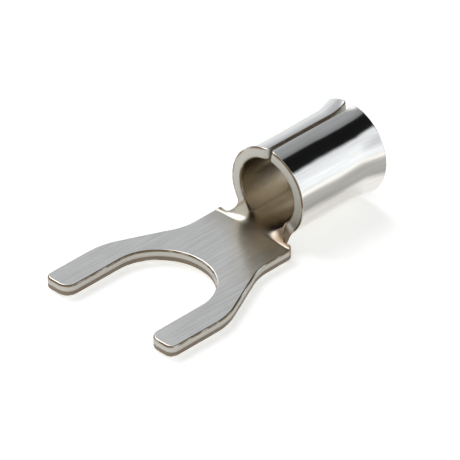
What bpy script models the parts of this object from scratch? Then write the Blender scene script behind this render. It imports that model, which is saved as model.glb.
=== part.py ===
# A bare fork terminal for crimping onto a wire. It is one piece of tinned copper sheet: the blank is
# stamped flat, then its wide end is rolled into a barrel whose edges meet in a butt seam on top.
# Metres, +Z up. The fork points along -Y, the wire enters from +Y and the tongue lies flat.
# The origin is under the middle of the terminal's length, on the surface that it lies on.

import math

import bmesh
import bpy
from mathutils import Vector

# The sheet and its stamped edges
sheet = 0.0005
edge_break = 0.00004
chord_error = 0.000003

# The wire barrel, from its cut end at the tongue to the flared mouth where the wire goes in.
# The flare partly stretches the rim and partly opens the seam: mouth_opening is the seam's share
barrel_outer = 0.0038
barrel_length = 0.0047
barrel_facets = 60
seam_gap = 0.0001
seam_corner = 0.00015
mouth_rise = 0.00014
mouth_length = 0.0011
mouth_opening = 0.25
mouth_rings = 7

# The neck behind the barrel, cut in from both sides, and the trough that opens out flat there
neck_width = 0.0029
notch_length = 0.0006
notch_corner = 0.0002
trough_length = 0.0008
trough_rings = 6

# The tongue: shoulders, straight sides and the spread to the fork's full width
shoulder_width = 0.004
shoulder_corner = 0.00015
waist_length = 0.0019
waist_curve = 0.0025
spread_curve = 0.003
spread_lead = 0.00025

# The fork, whose slot slides round an M4 stud
barrel_to_throat = 0.00375
slot_width = 0.0043
prong_length = 0.00505
prong_width = 0.00127
tip_outer_corner = 0.00035
tip_inner_corner = 0.0005

# Places that follow from these sizes, on the flat blank with the barrel's cut end at y = 0
middle_radius = (barrel_outer - sheet) / 2
panel_half = math.pi * middle_radius - seam_gap / 2
slot_half = slot_width / 2
fork_half = slot_half + prong_width
shoulder_y = -notch_length
waist_y = shoulder_y - waist_length
throat_y = -barrel_to_throat
spread_y = throat_y - slot_half + spread_lead
tip_y = throat_y - prong_length
middle_y = (barrel_length + tip_y) / 2
nearly_flat = 0.000001


def rounded_outline(corners):
    """The closed outline through corners (x, y, radius), each replaced by a tangent arc."""
    points = []
    for index, (x, y, radius) in enumerate(corners):
        corner = Vector((x, y))
        before = Vector(corners[index - 1][:2]) - corner
        after = Vector(corners[(index + 1) % len(corners)][:2]) - corner
        half_angle = before.angle(after) / 2
        # An arc takes at most half of the shorter side, so it never runs into its neighbour
        reach = min(radius / math.tan(half_angle), before.length / 2, after.length / 2)
        radius = reach * math.tan(half_angle)
        inward = (before.normalized() + after.normalized()).normalized()
        centre = corner + inward * (radius / math.sin(half_angle))
        start = corner + before.normalized() * reach - centre
        turn = start.angle_signed(corner + after.normalized() * reach - centre)
        step = 2 * math.acos(1 - min(chord_error / radius, 1))
        count = max(2, math.ceil(abs(turn) / step))
        for number in range(count + 1):
            angle = -turn * number / count
            spoke = Vector((start.x * math.cos(angle) - start.y * math.sin(angle),
                            start.x * math.sin(angle) + start.y * math.cos(angle)))
            point = centre + spoke
            if not points or (point - points[-1]).length > chord_error:
                points.append(point)
    return points


def blank_corners():
    """Corners of the stamped blank: the right side from the mouth to the throat, then its mirror."""
    right = [
        (panel_half, barrel_length, seam_corner),
        (panel_half, 0, notch_corner),
        (neck_width / 2, 0, notch_corner),
        (neck_width / 2, shoulder_y, notch_corner),
        (shoulder_width / 2, shoulder_y, shoulder_corner),
        (shoulder_width / 2, waist_y, waist_curve),
        (fork_half, spread_y, spread_curve),
        (fork_half, tip_y, tip_outer_corner),
        (slot_half, tip_y, tip_inner_corner),
        (slot_half, throat_y, slot_half),
    ]
    left = [(-x, y, radius) for x, y, radius in reversed(right)]
    return right + left


def stamped_blank(collection):
    """The flat blank as a mesh, from a filled 2D curve that is as thick as the sheet."""
    outline = rounded_outline(blank_corners())
    curve = bpy.data.curves.new("blank", "CURVE")
    curve.dimensions = "2D"
    curve.fill_mode = "BOTH"
    curve.extrude = sheet / 2
    spline = curve.splines.new("POLY")
    spline.points.add(len(outline) - 1)
    for spline_point, place in zip(spline.points, outline):
        spline_point.co = (place.x, place.y, 0, 1)
    spline.use_cyclic_u = True
    flat = bpy.data.objects.new("blank", curve)
    collection.objects.link(flat)
    evaluated = flat.evaluated_get(bpy.context.evaluated_depsgraph_get())
    mesh = bpy.data.meshes.new_from_object(evaluated)
    bpy.data.objects.remove(flat)
    return mesh


def break_edges(blank):
    """Welds the blank, makes each of its two faces one polygon and takes off the sharp stamped edges."""
    bmesh.ops.remove_doubles(blank, verts=blank.verts, dist=chord_error / 10)
    bmesh.ops.recalc_face_normals(blank, faces=blank.faces)
    for side in (1, -1):
        bmesh.ops.dissolve_faces(blank, faces=[face for face in blank.faces if face.normal.z * side > 0.5])
    rims = [edge for edge in blank.edges if abs(edge.verts[0].co.z - edge.verts[1].co.z) < sheet / 2]
    bmesh.ops.bevel(blank, geom=rims, offset=edge_break, segments=1, affect="EDGES")


def score(blank, place, direction, beyond):
    """Cuts the faces that lie further along Y than beyond with a plane, so that they can bend there."""
    faces = [face for face in blank.faces if face.calc_center_median().y > beyond]
    around = {edge for face in faces for edge in face.edges} | {vert for face in faces for vert in face.verts}
    bmesh.ops.bisect_plane(blank, geom=faces + list(around), dist=chord_error, plane_co=place, plane_no=direction)


def roll_radius(y):
    """Radius that the middle of the sheet is rolled to at y: the barrel's, easing to flat behind it."""
    eased = min(max(-y / trough_length, 0), 1)
    return middle_radius / max(1 - eased * eased * (3 - 2 * eased), nearly_flat)


def flare(y):
    """How far the sheet stands out from the barrel at y, growing with the square near the mouth."""
    along = max((y - barrel_length + mouth_length) / mouth_length, 0)
    return mouth_rise * along * along


def rolled(place):
    """Where a point of the flat blank comes to lie: its width is wound round the barrel's axis."""
    outward = flare(place.y)
    radius = roll_radius(place.y)
    angle = place.x / (radius + mouth_opening * outward)
    radius += outward
    x = (radius - place.z) * math.sin(angle)
    z = place.z * math.cos(angle) + 2 * radius * math.sin(angle / 2) ** 2 - outward
    # The outer rim of the flare touches the ground, so the tongue's underside is a little above it
    ground = -sheet / 2 - flare(barrel_length - edge_break)
    return Vector((x, place.y - middle_y, z - ground))


def fork_terminal(collection):
    """The whole terminal: stamp the blank, score it where it bends, and roll it."""
    mesh = stamped_blank(collection)
    blank = bmesh.new()
    blank.from_mesh(mesh)
    break_edges(blank)
    rings = [-trough_length * number / trough_rings for number in range(trough_rings + 1)]
    rings += [barrel_length - mouth_length * number / mouth_rings for number in range(1, mouth_rings + 1)]
    for y in rings:
        score(blank, (0, y, 0), (0, 1, 0), tip_y)
    for number in range(1, barrel_facets):
        x = panel_half * (2 * number / barrel_facets - 1)
        score(blank, (x, 0, 0), (1, 0, 0), -trough_length)
    for vert in blank.verts:
        vert.co = rolled(vert.co)
    blank.to_mesh(mesh)
    blank.free()
    mesh.name = "fork_terminal"
    mesh.shade_smooth()
    mesh.set_sharp_from_angle(angle=math.radians(25))
    terminal = bpy.data.objects.new("fork_terminal", mesh)
    terminal.data.materials.append(tinned_copper())
    collection.objects.link(terminal)


def tinned_copper():
    """Bright tin plating over copper: pale, a little warm and glossy."""
    material = bpy.data.materials.new("tinned_copper")
    material.use_nodes = True
    shader = material.node_tree.nodes["Principled BSDF"]
    shader.inputs["Base Color"].default_value = (0.72, 0.70, 0.66, 1)
    shader.inputs["Metallic"].default_value = 1
    shader.inputs["Roughness"].default_value = 0.22
    return material


def main():
    for leftover in list(bpy.data.objects):
        bpy.data.objects.remove(leftover)
    collection = bpy.data.collections.new("fork_terminal")
    bpy.context.scene.collection.children.link(collection)
    fork_terminal(collection)


main()
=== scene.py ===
import math

import bmesh
import bpy
import numpy as np
from mathutils import Matrix, Vector


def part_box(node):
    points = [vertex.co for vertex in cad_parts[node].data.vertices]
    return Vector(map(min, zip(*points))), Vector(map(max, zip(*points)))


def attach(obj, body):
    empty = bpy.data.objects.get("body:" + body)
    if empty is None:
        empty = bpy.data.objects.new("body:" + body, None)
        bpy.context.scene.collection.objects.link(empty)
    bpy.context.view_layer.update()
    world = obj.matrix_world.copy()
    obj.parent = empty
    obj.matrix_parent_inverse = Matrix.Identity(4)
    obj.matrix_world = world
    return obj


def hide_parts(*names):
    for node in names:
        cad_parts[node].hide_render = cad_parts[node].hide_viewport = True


# A bare fork terminal: bright tin on copper sheet, stamped flat, then rolled into a barrel with a butt seam.
# It lies on a pale floor, fork towards -Y. The sheet is worked out flat, in millimetres, and rolled as it
# goes into its mesh. On the flat blank x runs across, y along from the barrel's cut end, z up through it.

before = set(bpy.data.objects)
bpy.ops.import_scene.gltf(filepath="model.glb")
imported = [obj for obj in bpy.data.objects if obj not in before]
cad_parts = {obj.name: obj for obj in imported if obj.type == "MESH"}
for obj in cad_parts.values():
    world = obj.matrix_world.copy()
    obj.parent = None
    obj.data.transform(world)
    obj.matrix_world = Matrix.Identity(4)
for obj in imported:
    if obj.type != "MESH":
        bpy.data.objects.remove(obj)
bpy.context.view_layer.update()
mm = 0.001
node = "fork_terminal"
lowCorner, highCorner = [np.array(corner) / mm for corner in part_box(node)]
print("frame loaded, the terminal is", np.round(highCorner - lowCorner, 2), "mm")

blank = {
    "thickness": 0.5,          # of the sheet
    "barrelOuter": 3.8,        # rolled diameter
    "barrelLength": 4.7,
    "seamGap": 0.1,            # between the two edges that meet on top
    "seamCorner": 0.15,
    "notchCorner": 0.2,        # fillet where the neck leaves the barrel
    "neckWidth": 2.9,
    "notchLength": 0.6,
    "shoulderWidth": 4.0,
    "shoulderCorner": 0.15,
    "waistLength": 1.9,
    "waistCurve": 2.5,
    "spreadCurve": 3.0,
    "spreadLead": 0.25,
    "throatBehind": 3.75,      # from the barrel's cut end to the throat of the fork
    "slotWidth": 4.3,
    "tipOuterCorner": 0.35,
    "tipInnerCorner": 0.5,
    "mouthRise": 0.14,         # how far the flare stands out
    "mouthLength": 1.1,
    "mouthOpening": 0.25,      # the seam's share of the flare
    "troughLength": 0.8,       # where the roll opens out flat
}

# How the mesh is laid out, in mm, and its steps across the neck, round the barrel, along each run and round
# each corner
grid = {
    "leanBack": 0.3,           # rows lean back this far beside the throat, so that none cross
    "guard": 0.02,             # a column this far in keeps the flat faces flat
    "weld": 0.0001,            # points nearer than this become one
    "leastBend": 1e-6,         # share of the barrel's bend that is left where the sheet is flat
}
steps = {"across": 24, "round": 54, "along": 26, "flare": 16, "side": 16, "waist": 10, "slot": 40,
         "spread": 12, "prong": 14, "corner": 12, "notch": 5}

# Places that follow from these sizes and from the frame
halfSheet = blank["thickness"] / 2
middleRadius = blank["barrelOuter"] / 2 - halfSheet
mouthY = blank["barrelLength"]
panelHalf = math.pi * middleRadius - blank["seamGap"] / 2
neckHalf = blank["neckWidth"] / 2
neckFoot = neckHalf + blank["notchCorner"]
shoulderHalf = blank["shoulderWidth"] / 2
slotHalf = blank["slotWidth"] / 2
tipInside = slotHalf + blank["tipInnerCorner"]
forkHalf = float(highCorner[0])
tipY = mouthY - float(highCorner[1] - lowCorner[1])
middleY = (mouthY + tipY - float(highCorner[1] + lowCorner[1])) / 2
throatY = -blank["throatBehind"]
shoulderY = -blank["notchLength"]
waistY = shoulderY - blank["waistLength"]
spreadY = throatY - slotHalf + blank["spreadLead"]
besideY = throatY + grid["leanBack"]
besideX = shoulderHalf + (forkHalf - shoulderHalf) * (waistY - besideY) / (waistY - spreadY)

edge = {
    "inset": 0.07,             # how far the rounding reaches in from the cut
    "rollover": 0.1,           # depth of the soft edge that the punch drew in
    "burrSide": 0.045,         # depth of the tighter edge on the other face
    "breakIn": 0.012,          # the fractured part stands back by this much
    "breakAt": -0.02,          # height where it begins, from the middle of the sheet
    "steps": 5,                # faces round each edge
}

# Slow unevenness left by the rolling, in mm: two long waves that cross, and a ripple made of two short ones
waves = {
    "height": 0.003,
    "ways": [(1.9, 0.93, 0.31, 0.7), (1.9, -0.47, 0.83, 2.1),      # length, share of x and of y, start
             (0.83, 1.0, 0.35, 0.0), (0.83, -0.2, 0.6, 1.0)],
    "second": 0.6,             # height of the second long wave, as a share of the first
    "ripple": 0.25,            # and of the ripple
}


def flareOut(y):
    # Grows with the square of the distance along the last part of the barrel
    along = np.maximum((y - mouthY + blank["mouthLength"]) / blank["mouthLength"], 0)
    return blank["mouthRise"] * along ** 2


def unevenness(x, y):
    # The first sine wave, plus a share of the second, plus a share of the product of the last two. They die
    # out at the mouth, so that the rim stays true
    first, second, third, fourth = [
        np.sin(2 * math.pi / length * (x * across + y * along) + start)
        for length, across, along, start in waves["ways"]]
    wave = first + waves["second"] * second + waves["ripple"] * third * fourth
    calm = np.clip((mouthY - y) / blank["mouthLength"], 0, 1)
    return waves["height"] * wave * calm


def rollUp(flat):
    # Winds each point's x round the barrel's axis. The radius is the barrel's as far as its cut end, then
    # eases out to flat through the trough, and the flare adds to it near the mouth.
    x, y = flat[..., 0], flat[..., 1]
    z = flat[..., 2] + unevenness(x, y)
    outward = flareOut(y)
    eased = np.clip(-y / blank["troughLength"], 0, 1)
    radius = middleRadius / np.maximum(1 - eased ** 2 * (3 - 2 * eased), grid["leastBend"])
    angle = x / (radius + blank["mouthOpening"] * outward)
    radius = radius + outward
    rolled = np.stack([
        (radius - z) * np.sin(angle),
        y - middleY,
        z * np.cos(angle) + 2 * radius * np.sin(angle / 2) ** 2 - outward,
    ], axis=-1)
    return rolled * mm


def roundedPath(corners, straights):
    # Straight lines, each cut into its number of steps, with a tangent arc at each inner corner
    # (x, y, radius, steps). The material lies on the right. A last line of no steps is left out.
    # Gives the points and their outward normals.
    points, normals = [], []
    at = np.array(corners[0], float)
    for index in range(1, len(corners) - (straights[-1] == 0)):
        corner = np.array(corners[index][:2], float)
        way = (corner - at) / np.linalg.norm(corner - at)
        outward = np.array([-way[1], way[0]])
        radius, arcSteps = corners[index][2:]
        onward = np.array(corners[index + 1][:2], float) - corner
        turn = math.atan2(way[0] * onward[1] - way[1] * onward[0], way @ onward)
        start = corner - way * radius * math.tan(abs(turn) / 2)
        share = np.linspace(0, 1, straights[index - 1], endpoint=False)[:, None]
        points.append(at + (start - at) * share)
        normals.append(np.tile(outward, (len(share), 1)))
        # Along an arc the normal turns with the path, round a centre inside an outer corner
        bend = np.linspace(0, turn, arcSteps + 1)[:, None]
        turned = outward * np.cos(bend) + np.array([-outward[1], outward[0]]) * np.sin(bend)
        arc = start + (turned - outward) * -math.copysign(radius, turn)
        points.append(arc[:-1])
        normals.append(turned[:-1])
        at = arc[-1]
    points.append(at[None])
    normals.append(turned[-1:])
    return np.concatenate(points), np.concatenate(normals)


def columns(inner, outer, count):
    # Points on each line from inner to outer: both ends, a guard near each end and even steps between
    span = outer - inner
    guard = grid["guard"] / np.linalg.norm(span, axis=1)[:, None]
    even = guard + (1 - 2 * guard) * np.linspace(0, 1, count)
    share = np.concatenate([np.zeros_like(guard), even, np.ones_like(guard)], axis=1)
    return inner[:, None] + span[:, None] * share[..., None]


def halfBlank():
    # The right half of the blank: its flat patches, rows from the mouth to the tips and columns outwards,
    # and the run of places and normals round its outline, both drawn in by the edge's inset
    corner, inset = steps["corner"], edge["inset"]
    panel, panelNormal = roundedPath([
        (panelHalf - blank["seamCorner"], mouthY),
        (panelHalf, mouthY, blank["seamCorner"], corner),
        (panelHalf, mouthY - blank["mouthLength"], 0, 0),
        (panelHalf, 0, blank["notchCorner"], corner),
        (neckFoot, 0),
    ], [0, steps["flare"], steps["along"], 0])
    outer, outerNormal = roundedPath([
        (neckFoot, 0),
        (neckHalf, 0, blank["notchCorner"], corner),
        (neckHalf, shoulderY, blank["notchCorner"], corner),
        (shoulderHalf, shoulderY, blank["shoulderCorner"], corner),
        (shoulderHalf, waistY, blank["waistCurve"], corner),
        (besideX, besideY, 0, 0),
        (forkHalf, spreadY, blank["spreadCurve"], steps["spread"]),
        (forkHalf, tipY, blank["tipOuterCorner"], corner),
        (tipInside, tipY),
    ], [0, steps["notch"], steps["notch"], steps["side"], steps["waist"],
        steps["slot"] - steps["spread"], steps["prong"], 0])
    slot, slotNormal = roundedPath([
        (tipInside, tipY),
        (slotHalf, tipY, blank["tipInnerCorner"], corner),
        (slotHalf, throatY, slotHalf, steps["slot"]),
        (0, throatY),
    ], [0, steps["prong"], 0])
    panel, outer, slot = panel - inset * panelNormal, outer - inset * outerNormal, slot - inset * slotNormal

    # Rows of the barrel's panel run straight across. Those of the neck and tongue end on the centre line
    # at the same share of its length, and those of the prong on the slot
    centre = panel * (0, 1)
    foot = centre + (neckFoot, 0)
    nearPanel = columns(centre, foot, steps["across"])
    farPanel = columns(foot, panel, steps["round"])
    beforeThroat = len(outer) - len(slot)
    length = np.cumsum(np.linalg.norm(np.diff(outer, axis=0), axis=1))
    share = np.concatenate([[0], length])[:beforeThroat] / length[beforeThroat - 1]
    centre = np.stack([0 * share, inset + throatY * share], axis=1)
    tongue = columns(np.concatenate([centre, slot[::-1]]), outer, steps["across"])

    mouthRow = np.concatenate([nearPanel[0], farPanel[0][1:]])
    runs = [(mouthRow, (0, 1)), (panel, panelNormal), (farPanel[-1][::-1], (0, -1)), (outer, outerNormal),
            (tongue[-1][::-1], (0, -1)), (slot, slotNormal)]
    places = np.concatenate([run[bool(index):] for index, (run, normal) in enumerate(runs)])
    normals = np.concatenate([np.broadcast_to(normal, run.shape)[bool(index):]
                              for index, (run, normal) in enumerate(runs)])
    return [nearPanel, farPanel, tongue], places, normals


def edgeProfile():
    # From the upper face to the lower one: a quarter of an ellipse, the burnished wall, a small step back
    # to the fractured wall, and a tighter quarter of an ellipse. Gives reach outwards and height
    turn = np.linspace(0, math.pi / 2, edge["steps"] + 1)
    fractured = edge["inset"] - edge["breakIn"]
    reach = np.concatenate([edge["inset"] * np.sin(turn), [edge["inset"], fractured],
                            fractured * np.sin(turn[::-1])])
    height = np.concatenate([halfSheet - edge["rollover"] * (1 - np.cos(turn)),
                             [edge["breakAt"], edge["breakAt"] - 2 * edge["breakIn"]],
                             -halfSheet + edge["burrSide"] * (1 - np.cos(turn[::-1]))])
    return reach, height


def gridFaces(rows, cols, first, over):
    # Quads between neighbouring rows and columns, wound the other way round for over = False
    at = first + np.arange(rows * cols).reshape(rows, cols)
    quads = np.stack([at[:-1, :-1], at[1:, :-1], at[1:, 1:], at[:-1, 1:]], axis=-1).reshape(-1, 4)
    return quads if over else quads[:, ::-1]


def sheetMesh():
    # Upper and lower faces and the edge all round, for the right half and its mirror image, then rolled up
    patches, places, normals = halfBlank()
    reach, height = edgeProfile()
    rim = np.concatenate([
        places[:, None] + normals[:, None] * reach[:, None],
        np.broadcast_to(height[:, None], (len(places), len(height), 1)),
    ], axis=-1)
    layers = [(rim, True)]
    for patch in patches:
        for over in (True, False):
            level = np.full(patch.shape[:2] + (1,), halfSheet if over else -halfSheet)
            layers.append((np.concatenate([patch, level], axis=-1), over))
    flat, faces, first = [], [], 0
    for points, over in layers:
        for side in (1, -1):
            flat.append((points * (side, 1, 1)).reshape(-1, 3))
            faces.append(gridFaces(*points.shape[:2], first, over == (side > 0)))
            first += len(flat[-1])
    flat, faces = np.concatenate(flat), np.concatenate(faces)
    rolled = rollUp(flat)
    rolled[:, 2] -= rolled[:, 2].min() - float(lowCorner[2]) * mm     # it stands on the floor
    mesh = bpy.data.meshes.new("tinnedFork")
    mesh.from_pydata(rolled, [], faces)
    mesh.attributes.new("blankPlace", "FLOAT_VECTOR", "POINT").data.foreach_set("vector", flat.ravel())
    welded = bmesh.new()
    welded.from_mesh(mesh)
    bmesh.ops.remove_doubles(welded, verts=welded.verts, dist=grid["weld"] * mm)
    loose = sum(not line.is_manifold for line in welded.edges)
    welded.to_mesh(mesh)
    welded.free()
    mesh.shade_smooth()
    print("sheet rolled:", len(mesh.polygons), "faces,", loose, "open edges")
    return mesh


def linear(hexColour, alpha=1):
    # sRGB hex to linear: each channel over 0.04045 is ((c + 0.055) / 1.055) to the power 2.4
    channels = np.array([int(hexColour[i:i + 2], 16) / 255 for i in (1, 3, 5)])
    channels = np.where(channels > 0.04045, ((channels + 0.055) / 1.055) ** 2.4, channels / 12.92)
    return (*map(float, channels), alpha)


def addNode(tree, kind, settings=None, links=None):
    # One node of a tree. settings are properties or input values by name, links are inputs by name or number
    made = tree.nodes.new(kind)
    for name, value in (settings or {}).items():
        if isinstance(name, str) and hasattr(made, name):
            setattr(made, name, value)
        else:
            made.inputs[name].default_value = value
    for name, output in (links or {}).items():
        tree.links.new(output, made.inputs[name])
    return made


# Electroplated tin over copper sheet. Colours are what each part of the surface reflects, lengths are in mm
tin = {
    "face": "#e8e6e1",         # the plated faces
    "faceDull": "#e0ddd7",     # in the mill lines
    "root": "#cdc7ba",         # end of the tongue that faces the bore, painted darker as the bore's shade and dark reflection on it
    "bore": "#b9af9e",         # inside of the barrel, painted warm and dark as the shade in the hollow
    "cut": "#b9b6ae",          # stamped edges, burnished by the punch
    "fracture": "#82766a",     # their lower part, torn and dark
    "notch": "#7f6e5c",        # beside the neck on its right, painted darker as shade to dull a glint there
    "corner": "#76736d",       # corner of the left shoulder, painted darker as shade to dim a highlight there
    "wornAndShaded": "#74634d",         # along the rounded edges: thinner plating, and a painted dark reflection of the surroundings
    "barrelRough": 0.10,       # burnished by the rolling die
    "flatRough": 0.25,
    "boreRough": 0.22,
    "cutRough": 0.50,
    "smudge": 0.05,            # how much roughness wanders
    "patterns": {"smudges": (1.6, 4.0), "patches": (1 / 1.7, 3.0), "dents": (0.7, 1.0)},    # size, detail
    "grainWidth": 0.11,        # mill lines along the strip, about three times too coarse, so that they show
    "grainLength": 2.4,
    "grainDetail": 3.0,
    "grainDepth": 0.0012,
    "barrelGrain": 0.3,        # share of them that the rolling leaves
    "dentDepth": 0.0018,
}

# Where each share of the finish begins and where it is whole, on the flat blank or within a pattern
zones = {
    "dull": ("grain", 0.35, 0.65),
    "patchy": ("patches", 0.25, 0.55),
    "upper": ("height", 0.5 * halfSheet, 0.9 * halfSheet),     # top of the tongue and inside of the barrel
    "torn": ("height", edge["breakAt"] + 0.01, edge["breakAt"] - 0.03),
    "cut": ("depth", halfSheet - 0.01, halfSheet - edge["rollover"]),
    "rounding": ("depth", halfSheet - 0.001, halfSheet - 0.011),
    "past": ("depth", halfSheet - edge["rollover"] - 0.01, halfSheet - 0.5 * edge["rollover"]),
    "rooted": ("along", -2.1, -0.6),
    "inside": ("along", -0.5, 0.1),
    "barrel": ("along", -0.6, 0.0),
    "flat": ("along", 0.0, shoulderY),
    "pastNotch": ("along", shoulderY - 0.25, shoulderY - 0.05),
    "beforeNotch": ("along", -0.03, -0.2),
    "rightSide": ("across", 0.4, 1.3),
    "leftCorner": ("across", -1.25, -1.6),
}


def brightTin():
    # A pale, faintly warm mirror on the rolled barrel and a soft satin on the stamped flats, which take only
    # blurred light and dark from around them. Cut edges are duller, and the bore is painted warm and dark as
    # shade.
    material = bpy.data.materials.new("brightTinPlate")
    material.use_nodes = True
    tree = material.node_tree
    shader = tree.nodes["Principled BSDF"]
    shader.inputs["Metallic"].default_value = 1
    place = addNode(tree, "ShaderNodeAttribute", {"attribute_name": "blankPlace"}).outputs["Vector"]
    axes = addNode(tree, "ShaderNodeSeparateXYZ", {}, {0: place}).outputs
    source = {"across": axes["X"], "along": axes["Y"], "height": axes["Z"]}
    source["depth"] = addNode(tree, "ShaderNodeMath", {"operation": "ABSOLUTE"}, {0: axes["Z"]}).outputs[0]
    for name, (size, detail) in tin["patterns"].items():
        source[name] = addNode(tree, "ShaderNodeTexNoise", {"Scale": 1 / size, "Detail": detail},
                               {"Vector": place}).outputs[0]
    lines = addNode(tree, "ShaderNodeVectorMath", {
        "operation": "MULTIPLY", 1: (1 / tin["grainWidth"], 1 / tin["grainLength"], 1 / tin["grainWidth"]),
    }, {0: place}).outputs[0]
    source["grain"] = addNode(tree, "ShaderNodeTexNoise", {"Scale": 1.0, "Detail": tin["grainDetail"]},
                              {"Vector": lines}).outputs[0]

    # Each share eases from 0 to 1 between the two ends of its zone. Where two have to meet, they multiply
    share = {name: addNode(tree, "ShaderNodeMapRange", {
        "interpolation_type": "SMOOTHSTEP", "From Min": none, "From Max": whole,
    }, {"Value": source[kind]}).outputs[0] for name, (kind, none, whole) in zones.items()}
    for name, first, second in [
        # root and bore are painted shade and dark reflection at and inside the barrel's hollow
        ("root", "upper", "rooted"), ("bore", "upper", "inside"), ("line", "rounding", "past"),
        # the edge line and its patchy share are partly wear and partly a painted dark reflection
        ("wornAndShaded", "line", "patchy"), ("tornEdge", "cut", "torn"), ("fracture", "tornEdge", "flat"),
        # notch is painted shade that dulls the glint beside the neck on its right
        ("inNotch", "pastNotch", "beforeNotch"), ("notch", "inNotch", "rightSide"),
        # corner is painted shade that dims the highlight at the left shoulder's corner
        ("corner", "inNotch", "leftCorner"),
    ]:
        share[name] = addNode(tree, "ShaderNodeMath", {"operation": "MULTIPLY"},
                              {0: share[first], 1: share[second]}).outputs[0]

    colour = addNode(tree, "ShaderNodeMix", {"data_type": "RGBA", 6: linear(tin["face"]),
                                             7: linear(tin["faceDull"])}, {0: share["dull"]})
    for name in ("root", "bore", "cut", "fracture", "notch", "corner", "wornAndShaded"):
        colour = addNode(tree, "ShaderNodeMix", {"data_type": "RGBA", 7: linear(tin[name])},
                         {0: share[name], 6: colour.outputs[2]})
    tree.links.new(colour.outputs[2], shader.inputs["Base Color"])

    rough = addNode(tree, "ShaderNodeMapRange", {
        "To Min": tin["flatRough"] - tin["smudge"], "To Max": tin["flatRough"] + tin["smudge"],
    }, {"Value": source["smudges"]})
    for name in ("barrel", "bore", "cut"):
        rough = addNode(tree, "ShaderNodeMix", {3: tin[name + "Rough"]},
                        {0: share[name], 2: rough.outputs[0]})
    tree.links.new(rough.outputs[0], shader.inputs["Roughness"])

    strength = addNode(tree, "ShaderNodeMix", {2: 1.0, 3: tin["barrelGrain"]},
                       {0: share["barrel"]}).outputs[0]
    fine = addNode(tree, "ShaderNodeBump", {"Distance": tin["grainDepth"] * mm},
                   {"Height": source["grain"], "Strength": strength}).outputs[0]
    soft = addNode(tree, "ShaderNodeBump", {"Distance": tin["dentDepth"] * mm},
                   {"Height": source["dents"], "Normal": fine}).outputs[0]
    tree.links.new(soft, shader.inputs["Normal"])
    print("tin plated")
    return material


terminal = bpy.data.objects.new("tinned_fork", sheetMesh())
bpy.context.scene.collection.objects.link(terminal)
terminal.data.materials.append(brightTin())
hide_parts(node)
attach(terminal, "root")


# A matt white table top, far wider than any view. For reflected rays only it is painted grey on the barrel's
# right, a painted reflection as if a grey card lay there, which the camera never sees
table = {
    "size": 1.6,               # metres
    "colour": "#f4f4f2",
    "rough": 0.9,
    "card": "#a6a6a4",
    "cardEdges": [("X", 2.5, 4.0), ("X", 24.0, 7.0), ("Y", 1.5, 3.5)],     # no card to full card, in mm
    "glow": 0.42,              # light from below, which keeps the shadows faint
}


def tableTop():
    # A square at the height of the floor. The card, grey painted for reflected rays only, has a share that is
    # the product of its three eased edges
    mesh = bpy.data.meshes.new("tableTop")
    half = table["size"] / 2
    corners = [(-half, -half, 0), (half, -half, 0), (half, half, 0), (-half, half, 0)]
    mesh.from_pydata(corners, [], [(0, 1, 2, 3)])
    material = bpy.data.materials.new("mattPaperWhite")
    material.use_nodes = True
    tree = material.node_tree
    place = addNode(tree, "ShaderNodeTexCoord").outputs["Object"]
    axes = addNode(tree, "ShaderNodeSeparateXYZ", {}, {0: place}).outputs
    mirrored = addNode(tree, "ShaderNodeLightPath").outputs["Is Glossy Ray"]
    for axis, none, whole in table["cardEdges"]:
        eased = addNode(tree, "ShaderNodeMapRange", {
            "interpolation_type": "SMOOTHSTEP", "From Min": none * mm, "From Max": whole * mm,
        }, {"Value": axes[axis]}).outputs[0]
        mirrored = addNode(tree, "ShaderNodeMath", {"operation": "MULTIPLY"},
                           {0: mirrored, 1: eased}).outputs[0]
    colour = addNode(tree, "ShaderNodeMix", {"data_type": "RGBA", 6: linear(table["colour"]),
                                             7: linear(table["card"])}, {0: mirrored}).outputs[2]
    shader = tree.nodes["Principled BSDF"]
    for name in ("Base Color", "Emission Color"):
        tree.links.new(colour, shader.inputs[name])
    shader.inputs["Emission Strength"].default_value = table["glow"]
    shader.inputs["Roughness"].default_value = table["rough"]
    mesh.materials.append(material)
    top = bpy.data.objects.new("tableTop", mesh)
    bpy.context.scene.collection.objects.link(top)


tableTop()
print("table laid")

# The studio round it: two soft boxes, left and right of the terminal, with a dark gap overhead between them
# that runs along the barrel, a pale wall in front, from its middle to its right, and a key light on the left.
# Levels are radiance, and places are parts of a direction of length 1
studio = {
    "across": (0.964, 0.073, -0.256),      # from the left box to the right one
    "levels": [(-1.0, 0.62), (-0.66, 0.58), (-0.50, 0.46), (-0.34, 0.38), (-0.22, 0.30), (-0.17, 0.01),
               (0.31, 0.01), (0.41, 1.1), (0.60, 1.1), (0.68, 0.9), (0.77, 0.75), (1.0, 0.75)],
    "tint": "#f3f8ff",
    "low": (0.50, 0.12, 1.7),              # below the first height the boxes grow brighter, up to this much
    "front": {"level": 0.8, "y": (0.16, -0.04), "x": (-0.45, -0.05)},      # none to whole
    "key": {"toward": (-0.62, -0.02, 0.78), "inner": 12, "outer": 31, "level": 3.4},       # degrees
    "backdrop": 1.0,                       # what the camera sees past the table
}


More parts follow.
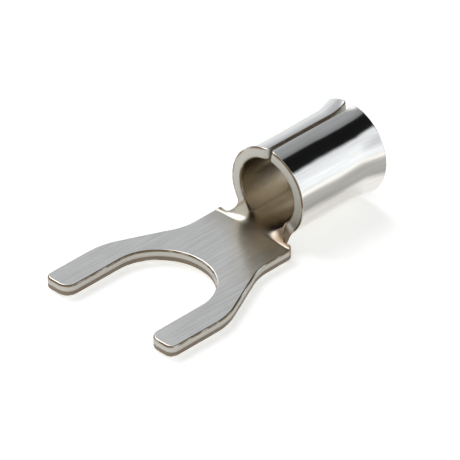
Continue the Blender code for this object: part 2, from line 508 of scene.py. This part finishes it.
def studioLight():
    # The boxes are a ramp over how far a direction points from the left box to the right one. The wall, the
    # key light and the backdrop are laid over it in turn, each by its own share
    world = bpy.data.worlds.new("studio")
    world.use_nodes = True
    tree = world.node_tree
    way = addNode(tree, "ShaderNodeTexCoord").outputs["Generated"]
    axes = addNode(tree, "ShaderNodeSeparateXYZ", {}, {0: way}).outputs
    front, key = studio["front"], studio["key"]
    along, near = [addNode(tree, "ShaderNodeVectorMath", {
        "operation": "DOT_PRODUCT", 1: Vector(direction).normalized(),
    }, {0: way}).outputs["Value"] for direction in (studio["across"], key["toward"])]

    # Each share eases from 0 at its first value to 1 at its second
    share = {name: addNode(tree, "ShaderNodeMapRange", {
        "interpolation_type": "SMOOTHSTEP", "From Min": none, "From Max": whole,
    }, {"Value": value}).outputs[0] for name, value, (none, whole) in [
        ("low", axes["Z"], studio["low"][:2]),
        ("frontLow", axes["Y"], front["y"]),
        ("frontSide", axes["X"], front["x"]),
        ("key", near, [math.cos(math.radians(key[name])) for name in ("outer", "inner")]),
    ]}
    share["front"] = addNode(tree, "ShaderNodeMath", {"operation": "MULTIPLY"},
                             {0: share["frontLow"], 1: share["frontSide"]}).outputs[0]
    share["backdrop"] = addNode(tree, "ShaderNodeLightPath").outputs["Is Camera Ray"]

    # The ramp holds shares of the brightest level
    brightest = max(level for at, level in studio["levels"])
    half = addNode(tree, "ShaderNodeMapRange", {"From Min": -1.0, "From Max": 1.0},
                   {"Value": along}).outputs[0]
    ramp = addNode(tree, "ShaderNodeValToRGB", {}, {"Fac": half})
    stops = ramp.color_ramp.elements
    stops[0].position, stops[1].position = 0, 1
    for at, level in studio["levels"][1:-1]:
        stops.new((at + 1) / 2)
    for stop, (at, level) in zip(stops, studio["levels"]):
        stop.color = (*[level / brightest * channel for channel in linear(studio["tint"])[:3]], 1)
    gain = addNode(tree, "ShaderNodeMix", {2: brightest, 3: brightest * studio["low"][2]},
                   {0: share["low"]}).outputs[0]
    light = addNode(tree, "ShaderNodeVectorMath", {"operation": "SCALE"},
                    {0: ramp.outputs["Color"], "Scale": gain}).outputs[0]
    for name, level in [("front", front["level"]), ("key", key["level"]), ("backdrop", studio["backdrop"])]:
        light = addNode(tree, "ShaderNodeMix", {"data_type": "RGBA", 7: (level, level, level, 1)},
                        {0: share[name], 6: light}).outputs[2]
    tree.links.new(light, tree.nodes["Background"].inputs["Color"])
    bpy.context.scene.world = world


studioLight()
print("studio lit")

# The camera looks down on the terminal from its front right, as in the photograph. Angles are in degrees,
# lengths in metres, and the sensor in mm
camera = {
    "azimuth": 42.6,
    "elevation": 34.0,
    "roll": 1.8,
    "distance": 0.23,
    "width": 0.0178,           # of the view, at the terminal
    "target": (0.0, 0.0, 0.0012),
    "sensor": 36,
    "clip": (0.01, 10),
}


def addCamera():
    # It stands back from the target by its distance, along the direction that the two angles give
    lens = bpy.data.cameras.new("camera")
    lens.sensor_width = camera["sensor"]
    lens.lens = lens.sensor_width * camera["distance"] / camera["width"]
    lens.clip_start, lens.clip_end = camera["clip"]
    across, up = math.radians(camera["azimuth"]), math.radians(camera["elevation"])
    back = Vector((math.sin(across) * math.cos(up), -math.cos(across) * math.cos(up), math.sin(up)))
    turned = back.to_track_quat("Z", "Y").to_matrix() @ Matrix.Rotation(math.radians(camera["roll"]), 3, "Z")
    eye = bpy.data.objects.new("camera", lens)
    stand = Vector(camera["target"]) + back * camera["distance"]
    eye.matrix_world = Matrix.Translation(stand) @ turned.to_4x4()
    bpy.context.scene.collection.objects.link(eye)
    bpy.context.scene.camera = eye


addCamera()
print("camera placed")
bpy.context.scene.view_settings.view_transform = "Standard"
